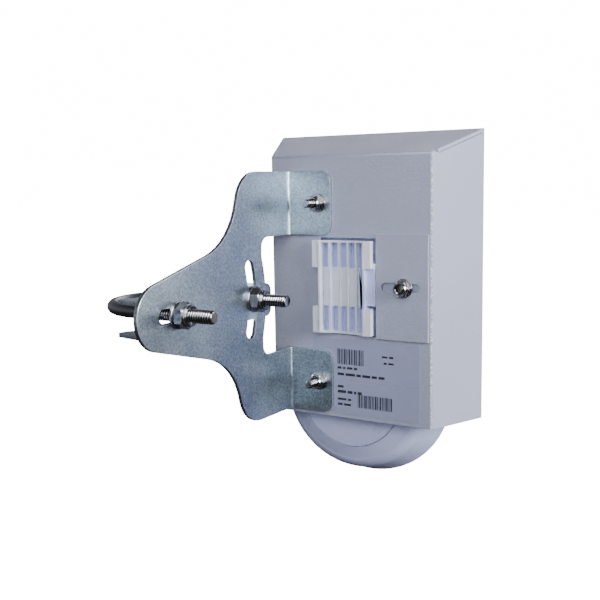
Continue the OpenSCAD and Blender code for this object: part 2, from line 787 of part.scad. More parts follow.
module antenna_patches() {
    color("goldenrod") in_radio() for (z = patch_z)
        translate([-patch_w / 2, z - patch_w / 2, antenna_d + antenna_t]) cube([patch_w, patch_w, patch_t]);
}

module feed_pins() {
    start = board_front_d + can_h + pin_clear;
    color("gold") in_radio() for (z = patch_z)
        translate([0, z, start]) cylinder(d = pin_d, h = antenna_d + antenna_t - start);
}

u_bolt();
u_bolt_washers();
u_bolt_nuts();
clamp_saddle();
bracket();
flange_studs();
flange_washers();
flange_nuts();
shield_shell();
lock_plate();
lock_stud();
lock_washer();
lock_nut();
upper_label();
lower_label();
rear_mount();
radio_rear_shell();
radio_front_shell();
port_cover();
main_board();
board_screws();
board_chips();
shield_can();
ethernet_jack();
reset_switch();
reset_button();
status_leds();
light_pipe();
reflector_posts();
reflector();
antenna_posts();
antenna_board();
antenna_patches();
feed_pins();
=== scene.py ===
"""Looks of the outdoor wireless bridge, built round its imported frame.

Shapes are modelled in millimetres in the frame's own axes: +Z runs up the pole, the open front
of the sheet shield faces -Y, and the rear panel with its fasteners faces +Y.
"""

import math

import bmesh
import bpy
from mathutils import Matrix, Vector


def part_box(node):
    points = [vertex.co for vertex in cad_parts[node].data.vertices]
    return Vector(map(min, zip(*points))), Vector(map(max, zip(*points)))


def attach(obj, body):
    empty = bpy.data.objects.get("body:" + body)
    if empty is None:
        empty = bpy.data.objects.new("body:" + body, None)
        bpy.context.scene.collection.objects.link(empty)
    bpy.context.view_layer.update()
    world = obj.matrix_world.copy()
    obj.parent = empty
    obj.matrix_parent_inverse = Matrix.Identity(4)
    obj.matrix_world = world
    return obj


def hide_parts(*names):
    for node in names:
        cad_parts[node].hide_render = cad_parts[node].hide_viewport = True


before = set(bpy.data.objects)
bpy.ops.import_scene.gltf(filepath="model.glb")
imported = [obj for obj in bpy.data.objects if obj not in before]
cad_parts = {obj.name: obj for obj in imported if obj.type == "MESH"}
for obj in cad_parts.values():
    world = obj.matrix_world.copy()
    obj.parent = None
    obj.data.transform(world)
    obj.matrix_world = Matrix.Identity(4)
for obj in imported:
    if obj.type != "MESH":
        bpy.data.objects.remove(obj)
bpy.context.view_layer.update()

MM = 0.001
BACKDROP = 16.0  # brightness of the white room and floor as the camera sees them
FULL_TURN = 2 * math.pi
THREAD_DEPTH = 0.54  # depth of a thread as a share of its pitch


def corners(node):
    """Lowest and highest corner of a CAD piece, in millimetres."""
    low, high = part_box(node)
    return low / MM, high / MM


# ---------------------------------------------------------------- sizes, in millimetres

# Pole clamp
bolt_low, bolt_high = corners("u_bolt")
rod_d = bolt_high.z - bolt_low.z
leg_y = bolt_high.y - rod_d / 2
bend_x = bolt_high.x - rod_d / 2 - leg_y
leg_tip_x = bolt_low.x
face_x = corners("u_bolt_washers")[1].x
saddle_x = corners("clamp_saddle")[0].x
rod_pitch = 1.25
stud_pitch = 0.8
stud_d = 4

# Shield
shield_low, shield_high = corners("shield_shell")
shield_x = (shield_low.x + shield_high.x) / 2
rear_y = shield_high.y
sheet_t = 1.5
side_flare = 12.5
top_rise = 11
rear_half_w = (shield_high.x - shield_low.x) / 2 - side_flare
rear_top = shield_high.z - top_rise
shield_d = shield_high.y - shield_low.y

# Radio
cover_low, cover_high = corners("port_cover")
front_high = corners("radio_front_shell")[1]
radio_flare = 5
front_r = (cover_high.x - cover_low.x) / 2
end_r = front_r - radio_flare
radio_x = (cover_low.x + cover_high.x) / 2
radio_y = corners("radio_rear_shell")[1].y
radio_d = radio_y - corners("radio_front_shell")[0].y
low_c = cover_low.z + front_r
high_c = front_high.z - front_r
cover_z = corners("radio_front_shell")[0].z
radio_wall = 2
tongue_r = 27.5
tongue_gap = 0.3
rim_r = end_r - 6.5
rim_lift = 1.6
waist_d = 9
nose_d = 21
nose_r = front_r - 6
nose_drop = 1.5
seam_d = 10.5
outlet_depth = 15
outlet_r = 4
beyond = 60  # reach of the blocks that part the housing, past its own outline

# Rear mount
mount_z = 3.2
tab_x = radio_x - 9.3
tab_half_h = 9.4
slit_w = 0.7
slit_depth = 2.2


# ---------------------------------------------------------------- mesh helpers


def verts_of(geom):
    return [item for item in geom if isinstance(item, bmesh.types.BMVert)]


def edges_of(geom):
    return [item for item in geom if isinstance(item, bmesh.types.BMEdge)]


def edges_between(verts):
    """Edges with both ends among the given vertices."""
    chosen = set(verts)
    return list({e for v in verts for e in v.link_edges if e.other_vert(v) in chosen})


def block(low, high):
    """Plain box, used as a cutter or as a drop of ink."""
    bm = bmesh.new()
    size = Vector(high) - Vector(low)
    place = Matrix.Translation((Vector(low) + Vector(high)) / 2) @ Matrix.Diagonal((*size, 1))
    bmesh.ops.create_cube(bm, size=1, matrix=place)
    return bm


def join(*parts):
    """One bmesh that holds all the parts as separate closed shapes."""
    whole = bmesh.new()
    for part in parts:
        carrier = bpy.data.meshes.new("carrier")
        part.to_mesh(carrier)
        part.free()
        whole.from_mesh(carrier)
        bpy.data.meshes.remove(carrier)
    return whole


def solid_object(bm):
    mesh = bpy.data.meshes.new("solid")
    bm.to_mesh(mesh)
    bm.free()
    solid = bpy.data.objects.new("solid", mesh)
    bpy.context.scene.collection.objects.link(solid)
    return solid


def boolean(bm, cutter, operation):
    """Cuts, joins or intersects two closed shapes and returns the result."""
    solid, tool = solid_object(bm), solid_object(cutter)
    change = solid.modifiers.new("change", "BOOLEAN")
    change.operation = operation
    change.solver = "EXACT"
    change.object = tool
    result = bmesh.new()
    result.from_object(solid, bpy.context.evaluated_depsgraph_get())
    for used in (solid, tool):
        mesh = used.data
        bpy.data.objects.remove(used)
        bpy.data.meshes.remove(mesh)
    return result


def cad_copy(node):
    """Merged copy of a CAD piece, with each flat side made of as few faces as it needs."""
    bm = bmesh.new()
    bm.from_mesh(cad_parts[node].data)
    bmesh.ops.scale(bm, vec=(1 / MM, 1 / MM, 1 / MM), verts=bm.verts)
    bmesh.ops.remove_doubles(bm, verts=bm.verts, dist=0.003)
    bmesh.ops.dissolve_limit(
        bm, angle_limit=math.radians(0.6), verts=bm.verts, edges=bm.edges, delimit=set())
    return bm


def sharp_edges(bm, angle=35):
    limit = math.radians(angle)
    return [e for e in bm.edges if e.is_manifold and e.calc_face_angle(0) > limit]


def ease(bm, edges, width, segments=2):
    """Rounds edges over the given width and marks the new faces for the wear that edges show."""
    mark = bm.faces.layers.float.get("edge") or bm.faces.layers.float.new("edge")
    made = bmesh.ops.bevel(
        bm, geom=edges, offset=width, offset_type="OFFSET", affect="EDGES",
        segments=segments, profile=0.5, material=-1, clamp_overlap=False)
    for face in made["faces"]:
        face[mark] = 1


def publish(bm, name, body, finish, slot, *stands_for, sharp=40):
    """Turns a finished shape into a piece of the visual model, in metres."""
    bmesh.ops.scale(bm, vec=(MM, MM, MM), verts=bm.verts)
    for face in bm.faces:
        face.smooth = True
    for edge in sharp_edges(bm, sharp):
        edge.smooth = False
    mesh = bpy.data.meshes.new(name)
    bm.to_mesh(mesh)
    bm.free()
    mesh.materials.append(finish)
    piece = bpy.data.objects.new(name, mesh)
    bpy.context.scene.collection.objects.link(piece)
    piece.modifiers.new("flat sides", "WEIGHTED_NORMAL").keep_sharp = True
    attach(piece, body)
    if stands_for:
        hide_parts(*stands_for)


def turned(profile, steps=64):
    """Ring or disc turned round Z from a closed outline of radius and height."""
    bm = bmesh.new()
    verts = [bm.verts.new((r, 0, z)) for r, z in profile]
    edges = [bm.edges.new((a, b)) for a, b in zip(verts, verts[1:] + verts[:1])]
    bmesh.ops.spin(
        bm, geom=verts + edges, cent=(0, 0, 0), axis=(0, 0, 1), angle=FULL_TURN, steps=steps,
        use_merge=True, use_duplicate=False)
    bmesh.ops.remove_doubles(bm, verts=bm.verts, dist=0.0005)
    bmesh.ops.recalc_face_normals(bm, faces=bm.faces)
    return bm


def stand(bm, place, direction):
    """Moves a shape made along +Z so that it starts at a place and points in a direction."""
    turn = Vector(direction).to_track_quat("Z", "Y").to_matrix().to_4x4()
    bmesh.ops.transform(bm, matrix=Matrix.Translation(place) @ turn, verts=bm.verts)
    return bm


# ---------------------------------------------------------------- threads, nuts and washers


def thread_radius(major_d, pitch, along, turn):
    """Radius of a cut thread at a distance along it and a fraction of a turn round it."""
    depth = THREAD_DEPTH * pitch
    slope = abs(2 * ((along / pitch - turn) % 1) - 1)
    return major_d / 2 - depth * min(1, max(0, 1.3 * slope - 0.15))


def rod_lengths(bm, ring, stretches):
    """Draws a ring of edges out along +Z through stretches of (length, spacing)."""
    for length, spacing in stretches:
        count = max(1, round(length / spacing))
        ring = edges_of(bmesh.ops.spin(
            bm, geom=ring, cent=(0, 0, 0), axis=(0, 0, 1), dvec=(0, 0, length / count),
            angle=0, steps=count, use_duplicate=False)["geom_last"])
    return ring


def threaded_rod(length, major_d, pitch, threads, tip=0.8, sides=32):
    """Closed rod along +Z with cut threads in the stretches (start, end), its tips chamfered."""
    rings_per_turn = 8
    bm = bmesh.new()
    first = bmesh.ops.create_circle(bm, cap_ends=False, radius=1, segments=sides)["verts"]
    start_ring = edges_between(first)
    stops = sorted({0, length, *[at for stretch in threads for at in stretch]})
    stretches = []
    for low, high in zip(stops, stops[1:]):
        cut = any(start <= low and high <= end for start, end in threads)
        stretches.append((high - low, pitch / rings_per_turn if cut else 1.5))
    end_ring = rod_lengths(bm, start_ring, stretches)
    for ring in (start_ring, end_ring):
        bmesh.ops.contextual_create(bm, geom=ring)
    # Depth into the thread groove, which the plating finish turns into painted shade.
    groove_shade = bm.verts.layers.float.new("groove_shade")
    for vert in bm.verts:
        x, y, along = vert.co
        radius = major_d / 2
        if any(start <= along <= end for start, end in threads):
            radius = thread_radius(major_d, pitch, along, math.atan2(y, x) / FULL_TURN)
            vert[groove_shade] = (major_d / 2 - radius) / (THREAD_DEPTH * pitch)
        radius = min(radius, major_d / 2 - tip + min(along, length - along, tip))
        vert.co = (x * radius, y * radius, along)
    bmesh.ops.recalc_face_normals(bm, faces=bm.faces)
    return bm


def stud(tip_y, x, z, length, major_d):
    """Small threaded stud that points along +Y and ends at tip_y."""
    rod = threaded_rod(length, major_d, stud_pitch, [(0, length)], tip=0.5, sides=28)
    return stand(rod, (x, tip_y - length, z), (0, 1, 0))


def stud_head(x, y, z, d, t):
    """Flat head of a stud behind the sheet, its face at y."""
    return stand(turned([(0, 0), (d / 2 - 0.2, 0), (d / 2, 0.2), (d / 2, t), (0, t)]), (x, y, z), (0, -1, 0))


def washer(outer_d, bore_d, t):
    """Washer with rounded rims, standing on the XY plane."""
    soft = 0.22 * t
    outer, bore = outer_d / 2, bore_d / 2
    return turned([
        (bore, soft), (bore + soft, 0), (outer - soft, 0), (outer - soft / 3, soft / 3),
        (outer, soft), (outer, t - soft), (outer - soft / 3, t - soft / 3), (outer - soft, t),
        (bore + soft, t), (bore, t - soft)])


def lock_nut(across, hex_h, collar_h, bore_d):
    """Hexagon nut with chamfered corners and the thin collar that holds a nylon ring."""
    corner_r = across / 2 / math.cos(math.pi / 6)
    bevel_h = 0.13 * hex_h
    bore = bore_d / 2
    collar = across / 2 * 0.93
    lip = collar - 0.22 * collar_h
    slope = [(across / 2 + (corner_r - across / 2) * k / 3, bevel_h * k / 3) for k in range(4)]
    outline = [(bore, 0.3), (bore + 0.3, 0)] + slope
    outline += [(r, hex_h - h) for r, h in reversed(slope)]
    outline += [
        (collar, hex_h), (collar, hex_h + 0.55 * collar_h), (lip + 0.06, hex_h + 0.86 * collar_h),
        (lip - 0.1, hex_h + collar_h), (lip - 0.45, hex_h + collar_h),
        (lip - 0.6, hex_h + 0.8 * collar_h), (bore + 0.35, hex_h + 0.66 * collar_h),
        (bore, hex_h + 0.5 * collar_h)]
    bm = turned(outline, steps=96)
    for vert in bm.verts:
        angle = math.atan2(vert.co.y, vert.co.x) % (math.pi / 3) - math.pi / 6
        flat_r = across / 2 / math.cos(angle)
        reach = vert.co.xy.length
        if reach > flat_r:
            vert.co.x *= flat_r / reach
            vert.co.y *= flat_r / reach
    return bm


# ---------------------------------------------------------------- shared effects


def node(tree, kind, links=None, **settings):
    """Adds a shader node, sets its options and links or sets its inputs."""
    made = tree.nodes.new("ShaderNode" + kind)
    for key, value in settings.items():
        setattr(made, key, value)
    for socket, value in (links or {}).items():
        if isinstance(value, bpy.types.NodeSocket):
            tree.links.new(value, made.inputs[socket])
        else:
            made.inputs[socket].default_value = value
    return made


def effect(name, inputs, outputs):
    """Starts a node group and returns its tree with its input and output nodes."""
    tree = bpy.data.node_groups.new(name, "ShaderNodeTree")
    kinds = {float: "NodeSocketFloat", tuple: "NodeSocketColor"}
    for label, value in inputs.items():
        socket = tree.interface.new_socket(label, in_out="INPUT", socket_type=kinds[type(value)])
        socket.default_value = value
    for label, kind in outputs.items():
        tree.interface.new_socket(label, in_out="OUTPUT", socket_type="NodeSocket" + kind)
    return tree, tree.nodes.new("NodeGroupInput").outputs, tree.nodes.new("NodeGroupOutput").inputs


def mapped_noise(tree, scale, detail=4.0, roughness=0.6):
    place = node(tree, "TexCoord").outputs["Object"]
    return node(tree, "TexNoise", {"Vector": place, "Scale": scale, "Detail": detail,
                                   "Roughness": roughness}).outputs["Fac"]


def ramped(tree, value, low, high, out_low=0.0, out_high=1.0):
    """Maps a value from one range to another, held at both ends."""
    return node(tree, "MapRange", {"Value": value, "From Min": low, "From Max": high,
                                   "To Min": out_low, "To Max": out_high}).outputs["Result"]


def mixed(tree, factor, first, second):
    """Mix of two colours by a factor."""
    blend = tree.nodes.new("ShaderNodeMix")
    blend.data_type = "RGBA"
    for index, value in ((0, factor), (6, first), (7, second)):
        if isinstance(value, bpy.types.NodeSocket):
            tree.links.new(value, blend.inputs[index])
        else:
            blend.inputs[index].default_value = value
    return blend.outputs[2]


def calc(tree, operation, first, second=0.0):
    return node(tree, "Math", {0: first, 1: second}, operation=operation).outputs[0]


def make_patches():
    """Slow drift between two tones, as handling and light dust leave on a surface."""
    tree, given, result = effect(
        "patches", {"Tone": (0.5, 0.5, 0.5, 1.0), "Other tone": (0.4, 0.4, 0.4, 1.0), "Scale": 30.0,
                    "Rough low": 0.4, "Rough high": 0.5}, {"Color": "Color", "Roughness": "Float"})
    cloud = mapped_noise(tree, given["Scale"], 5.0, 0.55)
    mask = ramped(tree, cloud, 0.35, 0.65)
    tree.links.new(mixed(tree, mask, given["Tone"], given["Other tone"]), result["Color"])
    tree.links.new(ramped(tree, cloud, 0.3, 0.7, given["Rough low"], given["Rough high"]),
                   result["Roughness"])
    return tree


def make_grain():
    """Fine bumps of a coating or a moulded skin."""
    tree, given, result = effect(
        "grain", {"Scale": 1500.0, "Strength": 0.1, "Height": 0.05}, {"Normal": "Vector"})
    bump = node(tree, "Bump", {"Height": mapped_noise(tree, given["Scale"], 3.0, 0.5),
                               "Strength": given["Strength"],
                               "Distance": calc(tree, "MULTIPLY", given["Height"], MM)})
    tree.links.new(bump.outputs["Normal"], result["Normal"])
    return tree


def make_spangle():
    """Crystals of a zinc coat: small cells and specks that differ a little in tone."""
    tree, given, result = effect(
        "spangle", {"Color": (0.5, 0.5, 0.5, 1.0), "Light": (0.7, 0.7, 0.7, 1.0),
                    "Dark": (0.3, 0.3, 0.3, 1.0), "Cell scale": 900.0},
        {"Color": "Color"})
    place = node(tree, "TexCoord").outputs["Object"]
    cells = node(tree, "TexVoronoi", {"Vector": place, "Scale": given["Cell scale"]})
    tone = node(tree, "SeparateColor", {0: cells.outputs["Color"]}).outputs[0]
    speck = mapped_noise(tree, calc(tree, "MULTIPLY", given["Cell scale"], 1.6), 2.0)
    mask = calc(tree, "ADD", calc(tree, "MULTIPLY", tone, 0.45), calc(tree, "MULTIPLY", speck, 0.55))
    light = mixed(tree, ramped(tree, mask, 0.5, 0.85), given["Color"], given["Light"])
    tree.links.new(mixed(tree, ramped(tree, mask, 0.45, 0.15), light, given["Dark"]), result["Color"])
    return tree


def make_edge_wear():
    """Mask of the worn, brighter metal on the marked edges of a piece."""
    tree, given, result = effect("edge wear", {"Amount": 0.8, "Break scale": 500.0}, {"Mask": "Float"})
    marked = node(tree, "Attribute", attribute_name="edge", attribute_type="GEOMETRY").outputs["Fac"]
    breaks = ramped(tree, mapped_noise(tree, given["Break scale"], 4.0), 0.3, 0.6, 0.35, 1.0)
    strength = calc(tree, "MULTIPLY", given["Amount"], breaks)
    tree.links.new(calc(tree, "MULTIPLY", marked, strength), result["Mask"])
    return tree


def make_streaks():
    """Fine turning or drawing marks that run round or along a metal piece."""
    tree, given, result = effect("streaks", {"Scale": 900.0, "Strength": 0.08}, {"Normal": "Vector"})
    place = node(tree, "TexCoord").outputs["Object"]
    stretched = node(tree, "Mapping", {"Vector": place, "Scale": (0.06, 1.0, 1.0)}).outputs["Vector"]
    lines = node(tree, "TexNoise", {"Vector": stretched, "Scale": given["Scale"], "Detail": 3.0})
    bump = node(tree, "Bump", {"Height": lines.outputs["Fac"], "Strength": given["Strength"],
                               "Distance": 0.03 * MM})
    tree.links.new(bump.outputs["Normal"], result["Normal"])
    return tree


PATCHES, GRAIN, SPANGLE = make_patches(), make_grain(), make_spangle()
EDGE_WEAR, STREAKS = make_edge_wear(), make_streaks()


def placed(tree, group, **values):
    """Puts a shared effect in a material with its own values, spaces for underscores."""
    made = tree.nodes.new("ShaderNodeGroup")
    made.node_tree = group
    for label, value in values.items():
        socket = made.inputs[label.replace("_", " ")]
        if isinstance(value, bpy.types.NodeSocket):
            tree.links.new(value, socket)
        else:
            socket.default_value = value
    return made.outputs


def new_finish(name, **constants):
    """Material with a Principled shader, its constants set on the shader's own sockets."""
    finish = bpy.data.materials.new(name)
    finish.use_nodes = True
    shader = finish.node_tree.nodes["Principled BSDF"]
    for label, value in constants.items():
        shader.inputs[label.replace("_", " ")].default_value = value
    return finish, finish.node_tree, shader.inputs


def rgb(red, green, blue):
    """Colour from display values of 0 to 255."""
    linear = [((c / 255 + 0.055) / 1.055) ** 2.4 if c > 10 else c / 3300 for c in (red, green, blue)]
    return (*linear, 1.0)


# ---------------------------------------------------------------- finishes


def coated_sheet():
    """Pale grey powder coat on steel, with bright flecks along the upright outside folds of the rear."""
    finish, tree, shader = new_finish("coated_sheet", Specular_IOR_Level=0.45, Coat_Weight=0.08,
                                      Coat_Roughness=0.35)
    paint = placed(tree, PATCHES, Tone=rgb(172, 176, 201), Other_tone=rgb(168, 172, 197), Scale=26.0,
                   Rough_low=0.42, Rough_high=0.54)
    place = node(tree, "SeparateXYZ", {0: node(tree, "TexCoord").outputs["Object"]}).outputs
    reach = calc(tree, "ABSOLUTE", calc(tree, "SUBTRACT", place["X"], shield_x * MM))
    off_fold = calc(tree, "ABSOLUTE", calc(tree, "SUBTRACT", reach, (rear_half_w - 0.5) * MM))
    near_fold = ramped(tree, off_fold, 0.35 * MM, 0.75 * MM, 1.0, 0.0)
    on_rear = ramped(tree, place["Y"], (rear_y - 0.7) * MM, (rear_y - 0.3) * MM)
    fold_flecks = ramped(tree, mapped_noise(tree, 900.0, 5.0, 0.7), 0.47, 0.56)
    mask = calc(tree, "MULTIPLY", calc(tree, "MULTIPLY", near_fold, on_rear), fold_flecks)
    tree.links.new(mixed(tree, mask, paint["Color"], rgb(238, 239, 244)), shader["Base Color"])
    tree.links.new(paint["Roughness"], shader["Roughness"])
    tree.links.new(placed(tree, GRAIN, Scale=900.0, Strength=0.8, Height=0.14)["Normal"],
                   shader["Normal"])
    return finish


def zinc_sheet():
    """Blue-grey zinc plate with fine crystals and bright cut edges."""
    finish, tree, shader = new_finish("zinc_sheet", Metallic=1.0)
    tone = placed(tree, PATCHES, Tone=rgb(174, 190, 206), Other_tone=rgb(190, 205, 218), Scale=38.0,
                  Rough_low=0.27, Rough_high=0.38)
    crystal = placed(tree, SPANGLE, Color=tone["Color"], Light=rgb(222, 231, 238), Dark=rgb(146, 162, 180),
                     Cell_scale=1500.0)
    worn = placed(tree, EDGE_WEAR, Amount=0.85, Break_scale=450.0)["Mask"]
    tree.links.new(mixed(tree, worn, crystal["Color"], rgb(236, 240, 242)), shader["Base Color"])
    tree.links.new(tone["Roughness"], shader["Roughness"])
    tree.links.new(placed(tree, GRAIN, Scale=1100.0, Strength=0.2, Height=0.04)["Normal"],
                   shader["Normal"])
    return finish


def plating(name, tone, other_tone, pole_reflection_tone=None):
    """Polished plating of the bolts, nuts and washers, with painted shade in the thread grooves; the bend
    that grips the pole is rougher and has a painted dark reflection of the pole.
    """
    finish, tree, shader = new_finish(name, Metallic=1.0)
    base = placed(tree, PATCHES, Tone=tone, Other_tone=other_tone, Scale=160.0,
                  Rough_low=0.12, Rough_high=0.24)
    gloss = base["Roughness"]
    marks = placed(tree, STREAKS, Scale=1500.0, Strength=0.12)
    worn = placed(tree, EDGE_WEAR, Amount=0.8, Break_scale=700.0)["Mask"]
    colour = mixed(tree, worn, base["Color"], rgb(240, 240, 244))
    # Painted shade in the thread grooves: the deeper the groove, the darker the colour.
    groove_shade = node(tree, "Attribute", attribute_name="groove_shade", attribute_type="GEOMETRY").outputs["Fac"]
    colour = mixed(tree, ramped(tree, groove_shade, 0.25, 0.8), colour, rgb(54, 54, 60))
    if pole_reflection_tone:
        place = node(tree, "SeparateXYZ", {0: node(tree, "TexCoord").outputs["Object"]}).outputs["X"]
        # Painted dark reflection of the pole on the bend, which is also made rougher.
        pole_reflection_and_rough = ramped(tree, place, saddle_x * MM, (saddle_x + 12) * MM)
        colour = mixed(tree, pole_reflection_and_rough, colour, pole_reflection_tone)
        gloss = calc(tree, "MAXIMUM", base["Roughness"], calc(tree, "MULTIPLY", pole_reflection_and_rough, 0.4))
    tree.links.new(colour, shader["Base Color"])
    tree.links.new(gloss, shader["Roughness"])
    tree.links.new(marks["Normal"], shader["Normal"])
    return finish


def moulded(name, tone, other_tone, gloss, grain_strength=0.08, **constants):
    """Injection-moulded plastic with a faint skin texture."""
    finish, tree, shader = new_finish(name, Specular_IOR_Level=0.5, **constants)
    colour = placed(tree, PATCHES, Tone=tone, Other_tone=other_tone, Scale=22.0, Rough_low=gloss,
                    Rough_high=gloss + 0.1)
    tree.links.new(colour["Color"], shader["Base Color"])
    tree.links.new(colour["Roughness"], shader["Roughness"])
    tree.links.new(placed(tree, GRAIN, Scale=900.0, Strength=grain_strength, Height=0.04)["Normal"],
                   shader["Normal"])
    return finish


def mount_white():
    """White plastic of the ribbed mount, with painted blue shade on its thin floor and the same blue on its
    spring tab.
    """
    finish, tree, shader = new_finish("mount_white", Specular_IOR_Level=0.55, Coat_Weight=0.15,
                                      Coat_Roughness=0.15)
    tone = placed(tree, PATCHES, Tone=rgb(240, 244, 255), Other_tone=rgb(235, 240, 255), Scale=60.0,
                  Rough_low=0.22, Rough_high=0.32)
    place = node(tree, "SeparateXYZ", {0: node(tree, "TexCoord").outputs["Object"]}).outputs
    # Painted shade: the floor behind the ribs turns blue the deeper it lies.
    recess_shade_and_tab = ramped(tree, place["Y"], (rear_y - 0.6) * MM, (rear_y - 2.4) * MM)
    beside = ramped(tree, place["X"], (tab_x + 0.1) * MM, (tab_x - 0.1) * MM)
    level = ramped(tree, calc(tree, "ABSOLUTE", calc(tree, "SUBTRACT", place["Z"], mount_z * MM)),
                   (tab_half_h + 0.2) * MM, (tab_half_h - 0.2) * MM)
    # The spring tab is coloured with the same blue.
    tab = calc(tree, "MULTIPLY", calc(tree, "MULTIPLY", beside, level), 0.75)
    recess_shade_and_tab = calc(tree, "MAXIMUM", recess_shade_and_tab, tab)
    tree.links.new(mixed(tree, recess_shade_and_tab, tone["Color"], rgb(190, 200, 252)), shader["Base Color"])
    tree.links.new(tone["Roughness"], shader["Roughness"])
    tree.links.new(placed(tree, GRAIN, Scale=800.0, Strength=0.06, Height=0.04)["Normal"],
                   shader["Normal"])
    return finish


def board_green():
    """Solder mask over copper tracks."""
    finish, tree, shader = new_finish("board_green", Coat_Weight=0.4, Coat_Roughness=0.2)
    place = node(tree, "TexCoord").outputs["Object"]
    tracks = node(tree, "TexBrick", {"Vector": node(tree, "Mapping", {
        "Vector": place, "Rotation": (math.pi / 2, 0, 0)}).outputs["Vector"], "Scale": 260.0,
        "Color1": rgb(24, 92, 58), "Color2": rgb(20, 78, 50), "Mortar": rgb(52, 130, 84),
        "Mortar Size": 0.03}, offset=0.37, squash=1.4)
    tone = placed(tree, PATCHES, Tone=rgb(18, 82, 50), Other_tone=rgb(26, 100, 62), Scale=90.0,
                  Rough_low=0.3, Rough_high=0.42)
    tree.links.new(mixed(tree, 0.55, tone["Color"], tracks.outputs["Color"]), shader["Base Color"])
    tree.links.new(tone["Roughness"], shader["Roughness"])
    bump = node(tree, "Bump", {"Height": tracks.outputs["Fac"], "Strength": 0.3, "Distance": 0.04 * MM})
    tree.links.new(bump.outputs["Normal"], shader["Normal"])
    return finish


def metal(name, tone, other_tone, gloss):
    """Plain bright metal of the inner pieces."""
    finish, tree, shader = new_finish(name, Metallic=1.0)
    colour = placed(tree, PATCHES, Tone=tone, Other_tone=other_tone, Scale=120.0, Rough_low=gloss,
                    Rough_high=gloss + 0.12)
    tree.links.new(colour["Color"], shader["Base Color"])
    tree.links.new(colour["Roughness"], shader["Roughness"])
    tree.links.new(placed(tree, STREAKS, Scale=1200.0, Strength=0.1)["Normal"], shader["Normal"])
    return finish


FINISHES = {
    "coated_sheet": coated_sheet(),
    "zinc_sheet": zinc_sheet(),
    "bright_zinc": plating("bright_zinc", rgb(196, 196, 202), rgb(150, 148, 152)),
    "rod_zinc": plating("rod_zinc", rgb(226, 226, 230), rgb(200, 198, 200), rgb(132, 133, 142)),
    "mount_white": mount_white(),
    "board_green": board_green(),
    "radio_white": moulded("radio_white", rgb(200, 207, 246), rgb(196, 203, 242), 0.24,
                           Coat_Weight=0.25, Coat_Roughness=0.12),
    "label_silver": moulded("label_silver", rgb(160, 166, 198), rgb(156, 162, 194), 0.3, 0.03),
    "label_ink": moulded("label_ink", rgb(40, 41, 50), rgb(52, 53, 62), 0.4, 0.03),
    "chip_black": moulded("chip_black", rgb(32, 33, 36), rgb(42, 43, 46), 0.42, 0.15),
    "jack_black": moulded("jack_black", rgb(26, 26, 28), rgb(36, 36, 39), 0.34),
    "nylon": moulded("nylon", rgb(232, 228, 214), rgb(222, 217, 202), 0.38),
    "button_red": moulded("button_red", rgb(176, 30, 28), rgb(160, 26, 26), 0.3),
    "led_body": moulded("led_body", rgb(226, 236, 222), rgb(214, 226, 212), 0.2),
    "clear_pipe": moulded("clear_pipe", rgb(235, 242, 246), rgb(228, 236, 242), 0.06, 0.02,
                          Transmission_Weight=0.85, IOR=1.49),
    "tin_sheet": metal("tin_sheet", rgb(196, 198, 202), rgb(178, 180, 186), 0.24),
    "copper_gold": metal("copper_gold", rgb(226, 178, 104), rgb(212, 160, 86), 0.22),
}


# ---------------------------------------------------------------- pole clamp


def u_bolt():
    """Round rod bent round the pole, with a rolled thread on both legs."""
    leg = bend_x - leg_tip_x
    bend = math.pi * leg_y
    length = 2 * leg + bend
    cut = face_x - leg_tip_x + 12
    bm = threaded_rod(length, rod_d, rod_pitch, [(0, cut), (length - cut, length)])
    for vert in bm.verts:
        across, up, along = vert.co
        if along <= leg:
            vert.co = (leg_tip_x + along, -leg_y - across, up)
        elif along >= leg + bend:
            vert.co = (leg_tip_x + length - along, leg_y + across, up)
        else:
            angle = (along - leg) / leg_y
            reach = leg_y + across
            vert.co = (bend_x + reach * math.sin(angle), -reach * math.cos(angle), up)
    bmesh.ops.recalc_face_normals(bm, faces=bm.faces)
    publish(bm, "u_bolt_rod", "clamp", FINISHES["rod_zinc"], "bright_zinc", "u_bolt", sharp=60)


def clamp_fasteners():
    """Washer and lock nut on each leg of the U-bolt."""
    thin_low, thin_high = corners("u_bolt_washers")
    nut_low, nut_high = corners("u_bolt_nuts")
    outer_d = thin_high.z - thin_low.z
    thick = thin_high.x - thin_low.x
    across = (nut_high.z - nut_low.z) * math.cos(math.pi / 6)
    hex_h, collar_h = 4.6, 1.6
    rings, nuts = [], []
    for y in (-leg_y, leg_y):
        rings.append(stand(washer(outer_d, rod_d + 0.6, thick), (face_x, y, 0), (-1, 0, 0)))
        nut = lock_nut(across, hex_h, collar_h, rod_d + 0.1)
        bmesh.ops.rotate(nut, verts=nut.verts, matrix=Matrix.Rotation(math.pi / 2, 3, "Z"))
        nuts.append(stand(nut, (nut_high.x, y, 0), (-1, 0, 0)))
    publish(join(*rings), "leg_washers", "clamp", FINISHES["bright_zinc"], "bright_zinc", "u_bolt_washers")
    publish(join(*nuts), "leg_nuts", "clamp", FINISHES["bright_zinc"], "bright_zinc", "u_bolt_nuts",
            sharp=28)


def sheet_piece(node_name, name, body, slot, width):
    """Copy of a sheet or moulded CAD piece with its edges eased."""
    bm = cad_copy(node_name)
    ease(bm, sharp_edges(bm), width)
    publish(bm, name, body, FINISHES[slot], slot, node_name, sharp=45)


# ---------------------------------------------------------------- shield and its fasteners


